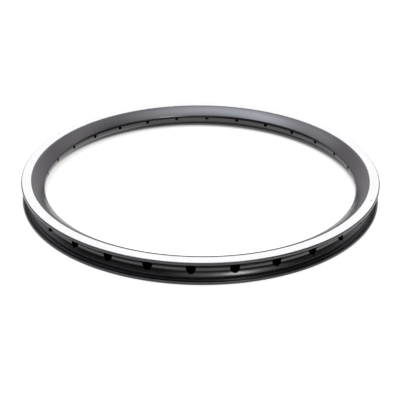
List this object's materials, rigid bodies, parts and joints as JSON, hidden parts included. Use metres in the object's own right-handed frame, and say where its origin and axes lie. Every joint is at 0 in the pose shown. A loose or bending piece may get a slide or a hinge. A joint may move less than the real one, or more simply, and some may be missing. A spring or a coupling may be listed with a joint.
{
  "type": "bicycle rim",
  "caption": "Hollow double-wall bicycle rim with hooked tyre flanges, a drop-centre well, machined brake tracks, sloping side walls and radial spoke drilling.",
  "frame": {"origin": "centre of the rim: on the axle line, in the centre plane that holds every spoke hole", "axes": "+Z is the axle line and points up as the rim lies on its lower brake track; +X goes through the valve hole; +Y completes the right-handed set"},
  "size_m": [0.4189, 0.419, 0.026],
  "materials": {
    "anodised_aluminium": "satin dark grey anodised extrusion, turned bright on both brake tracks"
  },
  "bodies": {
    "root": {"rim": "anodised_aluminium"}
  },
  "joints": []
}
